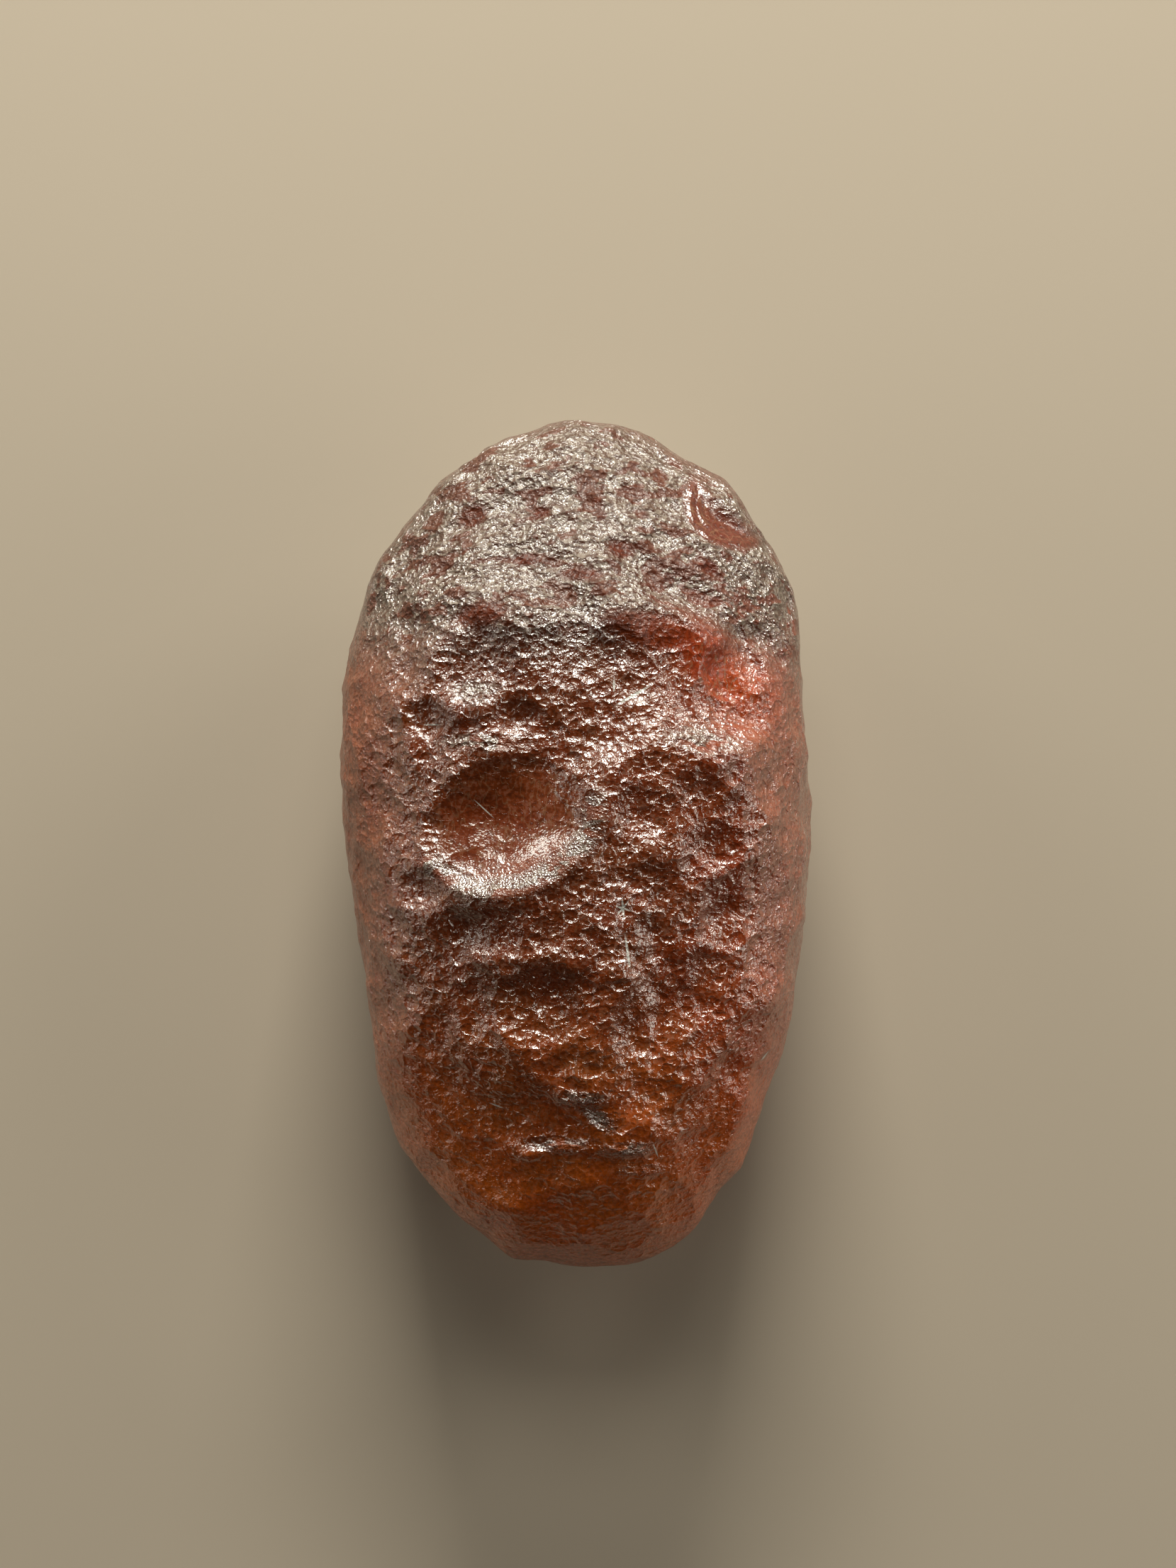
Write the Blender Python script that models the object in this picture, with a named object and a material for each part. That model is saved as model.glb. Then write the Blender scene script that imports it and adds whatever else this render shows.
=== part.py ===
"""A colombianite: a loose pebble of dark, translucent, red-brown natural glass, worn round and etched.

The pebble lies on its back on a small flat spot. Its long axis runs along Y, its broad front faces up, and
its origin is on the surface that it rests on, below the middle of its length and width. The form is worked
out in millimetres from the middle of its widest level, the plane of its outline, and is set down at the end.

An egg-like blank takes its outline from hand-read points. Wear flats are planed off it, broad swells and
troughs bend its front, bowls are hollowed into it, and a scatter of shallow cups covers it all round.
"""

import itertools
import math

import bmesh
import bpy
import numpy as np

METRES_PER_MM = 0.001

# Driving dimensions, in millimetres.
LENGTH = 38.0
WIDTH = 21.2
FRONT_RISE = 7.7
BACK_DROP = 7.7
OUTLINE_HEIGHT = 7.5

# The outline's points, counterclockwise from the right, in half widths and half lengths from the middle.
OUTLINE = (
    (0.99, 0.06), (1.00, 0.25), (0.975, 0.42), (0.97, 0.50), (0.93, 0.58), (0.89, 0.66), (0.82, 0.73),
    (0.74, 0.79), (0.66, 0.865), (0.53, 0.89), (0.41, 0.93), (0.29, 0.98), (0.15, 1.00), (-0.07, 1.00),
    (-0.20, 0.98), (-0.34, 0.96), (-0.46, 0.92), (-0.60, 0.865), (-0.70, 0.80), (-0.79, 0.725),
    (-0.89, 0.62), (-0.94, 0.51), (-0.985, 0.40), (-1.00, 0.25), (-0.99, 0.13), (-1.00, 0.06),
    (-0.97, -0.05), (-0.95, -0.19), (-0.90, -0.31), (-0.875, -0.45), (-0.825, -0.58), (-0.75, -0.69),
    (-0.65, -0.785), (-0.50, -0.89), (-0.38, -0.93), (-0.28, -0.975), (-0.13, -0.985), (0.02, -1.00),
    (0.22, -0.995), (0.38, -0.96), (0.50, -0.90), (0.59, -0.82), (0.70, -0.765), (0.77, -0.68),
    (0.81, -0.58), (0.87, -0.48), (0.905, -0.38), (0.955, -0.25), (0.975, -0.11),
)
OUTLINE_ROUNDING = math.radians(2.0)

# How full the blank is between its outline and its crown: 2 is an ellipse, and more is squarer.
FULLNESS_AT_SIDES = 2.5
FULLNESS_AT_ENDS = 2.15

# Wear flats: the direction that each faces, as azimuth and elevation in degrees, and its depth in mm.
WEAR_FLATS = (
    (5, 42, 0.32),
    (152, 42, 0.40),
    (222, 50, 0.30),
    (322, 46, 0.20),
    (66, 46, 0.25),
    (20, -44, 0.45),
    (130, -40, 0.50),
    (200, -48, 0.40),
    (300, -44, 0.50),
    (80, -40, 0.40),
)

# Swells and troughs on the front: x, y, half length, half width, turn in degrees, height in mm.
SWELLS = (
    (-1.2, 12.5, 3.0, 0.9, 0, -0.22),
    (3.8, 12.0, 3.0, 0.9, -12, -0.12),
    (-2.5, 10.0, 3.2, 1.0, -4, 0.38),
    (3.2, 10.3, 3.4, 0.9, -8, 0.22),
    (-2.8, 7.9, 4.5, 1.2, 4, -0.42),
    (4.2, 8.4, 3.4, 0.9, -4, -0.38),
    (-4.6, 6.1, 1.6, 0.8, 0, 0.24),
    (-4.0, 4.5, 3.2, 0.7, 2, 0.34),
    (1.8, 3.9, 2.9, 1.6, 4, 0.46),
    (6.3, 4.0, 2.3, 1.3, 6, 0.62),
    (-3.6, -2.0, 3.4, 0.9, 14, 0.30),
    (-2.0, -5.1, 4.4, 0.8, 3, 0.22),
    (2.2, -4.4, 0.9, 4.2, -12, 0.26),
    (-1.0, -8.9, 2.8, 0.8, 4, 0.16),
    (5.2, -7.0, 1.8, 5.0, 6, -0.18),
    (-5.6, -7.0, 1.2, 4.0, -24, -0.16),
)

# Bowls in the front: x, y, half length, half width, turn in degrees, depth in mm.
FRONT_BOWLS = (
    (-3.00, 1.00, 3.90, 3.00, 12, 1.15),
    (-6.50, 5.65, 1.10, 0.85, 0, 0.34),
    (-2.80, 5.70, 1.30, 0.80, 5, 0.26),
    (6.90, 7.70, 1.45, 1.35, 20, 0.46),
    (2.00, 13.10, 0.80, 0.60, 0, 0.26),
    (-4.50, 14.60, 0.90, 0.60, 30, 0.20),
    (-1.60, 14.75, 0.70, 0.50, 0, 0.14),
    (5.90, 0.00, 1.45, 1.20, 10, 0.34),
    (2.90, 1.50, 1.60, 1.20, -15, 0.24),
    (7.60, 2.00, 1.40, 1.10, 30, 0.24),
    (3.30, -1.60, 1.30, 1.00, 0, 0.20),
    (-2.60, -3.60, 3.20, 1.15, 3, 0.30),
    (-1.40, -6.90, 2.70, 1.75, 6, 0.26),
    (-4.60, -7.20, 1.30, 1.60, 32, 0.18),
    (-0.30, -9.90, 1.30, 1.10, 0, 0.20),
    (2.70, -10.90, 1.50, 1.10, 0, 0.16),
    (4.05, -12.00, 0.80, 0.70, 0, 0.22),
    (-1.60, -12.40, 2.10, 0.90, 4, 0.14),
    (6.70, -3.30, 1.40, 1.10, 40, 0.22),
    (-6.60, -1.90, 1.30, 1.00, -20, 0.20),
    (-7.10, 9.60, 1.10, 0.80, 60, 0.16),
)

# Bowls in the back, which faces the ground: x, y, half length, half width, turn in degrees, depth in mm.
BACK_BOWLS = (
    (-5.2, 8.4, 2.6, 2.0, 30, 0.55),
    (5.6, 6.8, 2.0, 1.6, -25, 0.40),
    (6.2, -5.6, 2.4, 1.7, 60, 0.50),
    (-6.4, -5.2, 2.0, 1.5, 15, 0.42),
    (0.8, 12.6, 2.2, 1.4, -10, 0.45),
    (-1.4, -12.4, 2.6, 1.6, 8, 0.50),
)

# The broken shell-shaped chips near the upper right: middle, outer reach, number of steps and step depth.
CHIP_MIDDLE = (6.75, 14.95)
CHIP_REACH = 1.75
CHIP_STEPS = 3
CHIP_STEP_DEPTH = 0.10

# The crease that runs down the front from below its middle: its points, half width and depth.
CREASE = ((2.0, -2.6), (2.1, -4.3), (3.2, -5.6), (3.8, -6.6), (3.6, -9.0))
CREASE_HALF_WIDTH = 0.35
CREASE_DEPTH = 0.12

# Scattered cups all round: cell size, depth as a share of a cup's radius, and the seed of the scatter.
SCATTERED_CUPS = (
    (4.6, 0.08, 11),
    (2.3, 0.09, 12),
)
CUP_ALLOWANCE = 0.14

MESH_CUTS = 27
SNAP_TO_CUT = 0.02
FLATTEST_SHADED_EDGE = math.radians(60)

GLASS_COLOUR = (0.085, 0.030, 0.016, 1.0)
GLASS_ROUGHNESS = 0.45


def soft_step(value, low, high):
    """Rises smoothly from 0 at low to 1 at high."""
    share = np.clip((value - low) / (high - low), 0.0, 1.0)
    return share * share * (3.0 - 2.0 * share)


def outline_reach(angle):
    """How far the outline lies from the middle at each angle, where the half width and length are both 1.

    The reach runs straight between the outline's points, and is averaged over a few degrees to round it.
    """
    points = np.array(OUTLINE)
    angles = np.arctan2(points[:, 1], points[:, 0])
    reaches = np.hypot(points[:, 0], points[:, 1])
    offsets = OUTLINE_ROUNDING * np.array((-1.5, -0.75, 0.0, 0.75, 1.5))
    weights = np.array((0.1, 0.2, 0.4, 0.2, 0.1))
    rounded = [w * np.interp(angle + o, angles, reaches, period=2 * math.pi) for o, w in zip(offsets, weights)]
    return np.sum(rounded, axis=0)


def blank(directions):
    """The smooth egg-like form: each unit direction pushed out to the outline, and up or down to a full dome."""
    across = np.hypot(directions[:, 0], directions[:, 1])
    angle = np.arctan2(directions[:, 1], directions[:, 0])
    endness = np.sin(angle) ** 2
    power = 2.0 / (FULLNESS_AT_SIDES + (FULLNESS_AT_ENDS - FULLNESS_AT_SIDES) * endness)
    reach = outline_reach(angle) * across ** power
    rise = np.where(directions[:, 2] > 0.0, FRONT_RISE, BACK_DROP)
    height = rise * np.sign(directions[:, 2]) * np.abs(directions[:, 2]) ** power
    return np.stack(
        (0.5 * WIDTH * reach * np.cos(angle), 0.5 * LENGTH * reach * np.sin(angle), height), axis=1
    )


def planed(points):
    """The points with each wear flat planed off: what stands past a flat's plane is pushed back to it."""
    for azimuth, elevation, depth in WEAR_FLATS:
        turn, tilt = math.radians(azimuth), math.radians(elevation)
        facing = np.array((math.cos(turn) * math.cos(tilt), math.sin(turn) * math.cos(tilt), math.sin(tilt)))
        reach = points @ facing
        excess = np.maximum(reach - (reach.max() - depth), 0.0)
        points = points - 0.85 * excess[:, None] * facing
    return points


def oval_distance(points, x, y, half_length, half_width, turn):
    """The squared distance from an oval's middle, seen from above, where 1 is the oval's edge."""
    angle = math.radians(turn)
    along = (points[:, 0] - x) * math.cos(angle) + (points[:, 1] - y) * math.sin(angle)
    aside = (points[:, 1] - y) * math.cos(angle) - (points[:, 0] - x) * math.sin(angle)
    return (along / half_length) ** 2 + (aside / half_width) ** 2


def swells(points):
    """The height of the broad swells and troughs, each a bell shape over its oval."""
    return sum(height * np.exp(-oval_distance(points, *oval)) for *oval, height in SWELLS)


def bowls(points, ovals):
    """The depth of the bowls, each round-bottomed with a clear rim. Where two meet, the deeper one counts."""
    depth = np.zeros(len(points))
    for *oval, deepest in ovals:
        depth = np.maximum(depth, deepest * (1.0 - oval_distance(points, *oval)))
    return depth


def chips(points):
    """The depth of the nested shell-shaped chips: steps down towards their middle, each with a soft riser."""
    offset = points[:, :2] - np.array(CHIP_MIDDLE)
    share = np.hypot(offset[:, 0], offset[:, 1]) / CHIP_REACH
    edges = np.linspace(1.0, 0.25, CHIP_STEPS)
    return CHIP_STEP_DEPTH * sum(1.0 - soft_step(share, edge - 0.15, edge) for edge in edges)


def crease(points):
    """The depth of the crease: a soft groove along the straight runs between its points."""
    nearest = np.full(len(points), np.inf)
    for start, end in itertools.pairwise(np.array(CREASE)):
        run = end - start
        share = np.clip((points[:, :2] - start) @ run / (run @ run), 0.0, 1.0)
        gap = points[:, :2] - start - share[:, None] * run
        nearest = np.minimum(nearest, np.hypot(gap[:, 0], gap[:, 1]))
    return CREASE_DEPTH * np.exp(-((nearest / CREASE_HALF_WIDTH) ** 2))


def scattered(cells, salt):
    """A repeatable value from 0 to 1 for each whole-number cell, mixed from its three numbers and the salt."""
    mixed = cells[:, 0] * 73856093 ^ cells[:, 1] * 19349663 ^ cells[:, 2] * 83492791 ^ salt * 40503
    for _ in range(3):
        mixed = (mixed * 1103515245 + 12345) & 0x7FFFFFFF
        mixed = mixed ^ mixed >> 15
    return (mixed & 0xFFFF) / 0xFFFF


def cups(points, cell_size, steepness, seed):
    """The depth of the scattered cups. Each cell of space holds one cup with its own centre and radius.

    A cup of radius r is steepness * (r - distance squared / r) deep, and the deepest cup at a point counts.
    """
    scaled = points / cell_size
    home = np.floor(scaled).astype(np.int64)
    deepest = np.zeros(len(points))
    for step in itertools.product((-1, 0, 1), repeat=3):
        cell = home + np.array(step)
        centre = cell + np.stack([scattered(cell, 10 * seed + axis) for axis in range(3)], axis=1)
        radius = 0.45 + 0.5 * scattered(cell, 10 * seed + 3)
        squared = ((scaled - centre) ** 2).sum(axis=1)
        deepest = np.maximum(deepest, radius - squared / radius)
    return steepness * cell_size * deepest


def pebble_surface(directions):
    """The pebble's surface point in each unit direction, in mm from the middle of its outline's plane."""
    points = planed(blank(directions))
    on_front = soft_step(directions[:, 2], 0.05, 0.35)
    on_back = soft_step(-directions[:, 2], 0.05, 0.35)
    relief = on_front * (swells(points) - bowls(points, FRONT_BOWLS) - chips(points) - crease(points))
    relief -= on_back * bowls(points, BACK_BOWLS)
    relief += CUP_ALLOWANCE - sum(cups(points, *layer) for layer in SCATTERED_CUPS)
    outwards = directions / np.array((WIDTH, LENGTH, FRONT_RISE + BACK_DROP))
    outwards /= np.linalg.norm(outwards, axis=1)[:, None]
    return points + relief[:, None] * outwards


def gridded_cube():
    """A cube with each face cut into a grid, the start of the pebble's even net of faces."""
    net = bmesh.new()
    bmesh.ops.create_cube(net, size=2.0)
    bmesh.ops.subdivide_edges(net, edges=net.edges[:], cuts=MESH_CUTS, use_grid_fill=True)
    return net


def rounded_directions(corners):
    """Unit directions for points on the cube, spaced evenly by angle rather than bunched at its corners."""
    spread = np.tan(corners * math.pi / 4)
    return spread / np.linalg.norm(spread, axis=1)[:, None]


def form_pebble(net):
    """Moves the cube's points onto the pebble's surface, in metres, with the outline at its height."""
    corners = np.array([vertex.co for vertex in net.verts])
    surface = pebble_surface(rounded_directions(corners))
    surface[:, 2] += OUTLINE_HEIGHT
    for vertex, place in zip(net.verts, surface * METRES_PER_MM):
        vertex.co = place


def cut_flat_spot(net):
    """Cuts off what would reach below the ground, levels the rim, and closes the cut with one flat face."""
    bmesh.ops.bisect_plane(
        net,
        geom=net.verts[:] + net.edges[:] + net.faces[:],
        dist=SNAP_TO_CUT * METRES_PER_MM,
        plane_co=(0.0, 0.0, 0.0),
        plane_no=(0.0, 0.0, 1.0),
        clear_inner=True,
    )
    rim = [edge for edge in net.edges if edge.is_boundary]
    for vertex in {vertex for edge in rim for vertex in edge.verts}:
        vertex.co.z = 0.0
    bmesh.ops.holes_fill(net, edges=rim, sides=len(rim))
    bmesh.ops.recalc_face_normals(net, faces=net.faces[:])


def glass():
    """Dark red-brown glass with a frosted, etched skin."""
    material = bpy.data.materials.new("frosted brown glass")
    material.use_nodes = True
    shader = material.node_tree.nodes["Principled BSDF"]
    shader.inputs["Base Color"].default_value = GLASS_COLOUR
    shader.inputs["Roughness"].default_value = GLASS_ROUGHNESS
    shader.inputs["Metallic"].default_value = 0.0
    return material


def make_stone(collection):
    """The whole pebble, as one closed solid."""
    net = gridded_cube()
    form_pebble(net)
    cut_flat_spot(net)
    mesh = bpy.data.meshes.new("stone")
    net.to_mesh(mesh)
    net.free()
    mesh.shade_smooth()
    mesh.set_sharp_from_angle(angle=FLATTEST_SHADED_EDGE)
    mesh.materials.append(glass())
    stone = bpy.data.objects.new("stone", mesh)
    collection.objects.link(stone)
    return stone


for leftover in list(bpy.data.objects):
    bpy.data.objects.remove(leftover, do_unlink=True)
pebble = bpy.data.collections.new("colombianite")
bpy.context.scene.collection.children.link(pebble)
make_stone(pebble)
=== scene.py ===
# %% [markdown]
# # A pebble of brown natural glass
#
# The object is a loose pebble of colombianite: one piece of dark, translucent, red-brown glass that nature
# has rounded and etched. It lies on its back on a small flat spot, long axis along Y and broad front up.
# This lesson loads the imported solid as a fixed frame, rebuilds its form with a much finer skin, gives that
# skin a glass finish with frost and pits of several sizes, and sets up a plain studio to look down on it.

import itertools
import math

import bpy
import numpy as np
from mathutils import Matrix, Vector


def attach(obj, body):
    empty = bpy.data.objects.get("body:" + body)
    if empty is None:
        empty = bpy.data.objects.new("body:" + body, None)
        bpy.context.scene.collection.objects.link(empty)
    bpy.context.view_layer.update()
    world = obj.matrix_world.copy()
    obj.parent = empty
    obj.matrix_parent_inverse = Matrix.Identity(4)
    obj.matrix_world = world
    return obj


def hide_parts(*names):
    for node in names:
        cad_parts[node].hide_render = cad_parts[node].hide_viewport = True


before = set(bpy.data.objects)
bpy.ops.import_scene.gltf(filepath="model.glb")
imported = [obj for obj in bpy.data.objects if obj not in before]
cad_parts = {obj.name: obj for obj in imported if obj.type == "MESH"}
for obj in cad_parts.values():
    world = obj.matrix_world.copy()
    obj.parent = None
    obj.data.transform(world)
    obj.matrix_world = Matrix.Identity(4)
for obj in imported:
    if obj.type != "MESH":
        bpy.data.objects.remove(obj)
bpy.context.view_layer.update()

# %% [markdown]
# ## The driving values
#
# The form is worked out in millimetres around the middle of the pebble's widest level, and lowered onto the
# ground at the end. These values are those of the solid, so that the skin lies close to it all round.

# %% Driving values
METRES_PER_MM = 0.001
LENGTH = 38.0
WIDTH = 21.2
FRONT_RISE = 7.7
BACK_DROP = 7.7
OUTLINE_HEIGHT = 7.5


def soft_step(value, low, high):
    """Rises smoothly from 0 at low to 1 at high: three times the share squared, less twice it cubed."""
    share = np.clip((value - low) / (high - low), 0.0, 1.0)
    return share * share * (3.0 - 2.0 * share)


# %% [markdown]
# ## The outline
#
# A pebble's outline is nearly an egg, but its small corners and flats are what make it this pebble and not
# another. It could be a free curve, or a circle with noise on it. Listed points at the corners, joined
# in angle and then averaged over a few degrees, keep the corners where they are and still look worn.

# %% Outline
OUTLINE = (
    (0.99, 0.06), (1.00, 0.25), (0.975, 0.42), (0.97, 0.50), (0.93, 0.58), (0.89, 0.66), (0.82, 0.73),
    (0.74, 0.79), (0.66, 0.865), (0.53, 0.89), (0.41, 0.93), (0.29, 0.98), (0.15, 1.00), (-0.07, 1.00),
    (-0.20, 0.98), (-0.34, 0.96), (-0.46, 0.92), (-0.60, 0.865), (-0.70, 0.80), (-0.79, 0.725),
    (-0.89, 0.62), (-0.94, 0.51), (-0.985, 0.40), (-1.00, 0.25), (-0.99, 0.13), (-1.00, 0.06),
    (-0.97, -0.05), (-0.95, -0.19), (-0.90, -0.31), (-0.875, -0.45), (-0.825, -0.58), (-0.75, -0.69),
    (-0.65, -0.785), (-0.50, -0.89), (-0.38, -0.93), (-0.28, -0.975), (-0.13, -0.985), (0.02, -1.00),
    (0.22, -0.995), (0.38, -0.96), (0.50, -0.90), (0.59, -0.82), (0.70, -0.765), (0.77, -0.68),
    (0.81, -0.58), (0.87, -0.48), (0.905, -0.38), (0.955, -0.25), (0.975, -0.11),
)
OUTLINE_ROUNDING = math.radians(2.0)
ROUNDING_OFFSETS = OUTLINE_ROUNDING * np.array((-1.5, -0.75, 0.0, 0.75, 1.5))
ROUNDING_WEIGHTS = np.array((0.1, 0.2, 0.4, 0.2, 0.1))


def outline_reach(angle):
    """How far the outline lies from the middle at each angle, where the half width and length are both 1.

    The reach runs straight between the outline's points, and is averaged over a few degrees to round it.
    """
    points = np.array(OUTLINE)
    angles = np.arctan2(points[:, 1], points[:, 0])
    reaches = np.hypot(points[:, 0], points[:, 1])
    rounded = [
        weight * np.interp(angle + offset, angles, reaches, period=2 * math.pi)
        for offset, weight in zip(ROUNDING_OFFSETS, ROUNDING_WEIGHTS)
    ]
    return np.sum(rounded, axis=0)


print("outline points:", len(OUTLINE))

# %% [markdown]
# ## The blank and its wear flats
#
# Under its relief the pebble is a full dome above and below the outline, squarer across than along. A
# superellipse gives that with one number. Rolling and rubbing have worn a few flats onto it, and a plane
# that pushes back whatever stands past it makes such a flat, with a soft edge, where noise could not. Each
# flat is given by the direction that it faces, as azimuth and elevation in degrees, and by its depth.

# %% Blank
FULLNESS_AT_SIDES = 2.5
FULLNESS_AT_ENDS = 2.15
FLAT_EDGE = 0.60
FLAT_PUSH = 0.85
WEAR_FLATS = (
    (5, 42, 0.32),
    (152, 42, 0.40),
    (222, 50, 0.30),
    (322, 46, 0.20),
    (66, 46, 0.25),
    (20, -44, 0.45),
    (130, -40, 0.50),
    (200, -48, 0.40),
    (300, -44, 0.50),
    (80, -40, 0.40),
)


def blank(directions):
    """Each unit direction pushed out to the outline, and up or down to a dome: a superellipse in section."""
    across = np.hypot(directions[:, 0], directions[:, 1])
    angle = np.arctan2(directions[:, 1], directions[:, 0])
    endness = np.sin(angle) ** 2
    power = 2.0 / (FULLNESS_AT_SIDES + (FULLNESS_AT_ENDS - FULLNESS_AT_SIDES) * endness)
    reach = outline_reach(angle) * across ** power
    rise = np.where(directions[:, 2] > 0.0, FRONT_RISE, BACK_DROP)
    height = rise * np.sign(directions[:, 2]) * np.abs(directions[:, 2]) ** power
    return np.stack(
        (0.5 * WIDTH * reach * np.cos(angle), 0.5 * LENGTH * reach * np.sin(angle), height), axis=1
    )


def planed(points):
    """Pushes what stands past each flat's plane back by FLAT_PUSH of the excess, with a soft edge.

    The excess is taken as half the sum of itself and the root of its square plus FLAT_EDGE squared. That is
    nearly 0 well inside the plane, and nearly the excess itself well past it.
    """
    for azimuth, elevation, depth in WEAR_FLATS:
        turn, tilt = math.radians(azimuth), math.radians(elevation)
        facing = np.array((math.cos(turn) * math.cos(tilt), math.sin(turn) * math.cos(tilt), math.sin(tilt)))
        reach = points @ facing
        excess = reach - (reach.max() - depth)
        excess = 0.5 * (excess + np.hypot(excess, FLAT_EDGE))
        points = points - FLAT_PUSH * excess[:, None] * facing
    return points


# %% [markdown]
# ## Swells, bowls, chips and a crease
#
# The front has a stepped relief that catches the light from above: a dome at the top, a ledge across the
# middle, and a thumbprint-like hollow below the ledge. Sculpting by hand or a painted map would do, but a
# short list of ovals says where each form is and how deep, and every one can be moved by itself. Swells add
# up as bell shapes. Bowls have a clear rim, and where two meet the deeper one counts, which leaves the
# sharp ridge between them that etched glass has.
#
# The large swells, the bowls and the crease are the solid's, but for one lower swell on the ledge, at 1.8 and
# 3.9. The small forms are this skin's own: a fitting program moved and sized them until the front's broad
# light and dark fell nearly where the photograph has them. The glint rows are thin swells that catch the
# light as rows of sparks near the lower end. The chips lie a little further out than the solid's. Each oval
# is x, y, half length, half width, turn in degrees, and height or depth, in millimetres.

# %% Front and back relief
SWELLS = (
    (-1.2, 12.5, 3.0, 0.9, 0, -0.22),
    (3.8, 12.0, 3.0, 0.9, -12, -0.12),
    (-2.5, 10.0, 3.2, 1.0, -4, 0.38),
    (3.2, 10.3, 3.4, 0.9, -8, 0.22),
    (-2.8, 7.9, 4.5, 1.2, 4, -0.42),
    (4.2, 8.4, 3.4, 0.9, -4, -0.38),
    (-4.6, 6.1, 1.6, 0.8, 0, 0.24),
    (-4.0, 4.5, 3.2, 0.7, 2, 0.34),
    (1.8, 3.9, 2.9, 1.6, 4, 0.26),
    (6.3, 4.0, 2.3, 1.3, 6, 0.62),
    (-3.6, -2.0, 3.4, 0.9, 14, 0.30),
    (-2.0, -5.1, 4.4, 0.8, 3, 0.22),
    (2.2, -4.4, 0.9, 4.2, -12, 0.26),
    (-1.0, -8.9, 2.8, 0.8, 4, 0.16),
    (5.2, -7.0, 1.8, 5.0, 6, -0.18),
    (-5.6, -7.0, 1.2, 4.0, -24, -0.16),
)
FRONT_BOWLS = (
    (-3.00, 1.00, 3.90, 3.00, 12, 1.15),
    (-6.50, 5.65, 1.10, 0.85, 0, 0.34),
    (-2.80, 5.70, 1.30, 0.80, 5, 0.26),
    (6.90, 7.70, 1.45, 1.35, 20, 0.46),
    (2.00, 13.10, 0.80, 0.60, 0, 0.26),
    (-4.50, 14.60, 0.90, 0.60, 30, 0.20),
    (-1.60, 14.75, 0.70, 0.50, 0, 0.14),
    (5.90, 0.00, 1.45, 1.20, 10, 0.34),
    (2.90, 1.50, 1.60, 1.20, -15, 0.24),
    (7.60, 2.00, 1.40, 1.10, 30, 0.24),
    (3.30, -1.60, 1.30, 1.00, 0, 0.20),
    (-2.60, -3.60, 3.20, 1.15, 3, 0.30),
    (-1.40, -6.90, 2.70, 1.75, 6, 0.26),
    (-4.60, -7.20, 1.30, 1.60, 32, 0.18),
    (-0.30, -9.90, 1.30, 1.10, 0, 0.20),
    (2.70, -10.90, 1.50, 1.10, 0, 0.16),
    (4.05, -12.00, 0.80, 0.70, 0, 0.22),
    (-1.60, -12.40, 2.10, 0.90, 4, 0.14),
    (6.70, -3.30, 1.40, 1.10, 40, 0.22),
    (-6.60, -1.90, 1.30, 1.00, -20, 0.20),
    (-7.10, 9.60, 1.10, 0.80, 60, 0.16),
)
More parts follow.
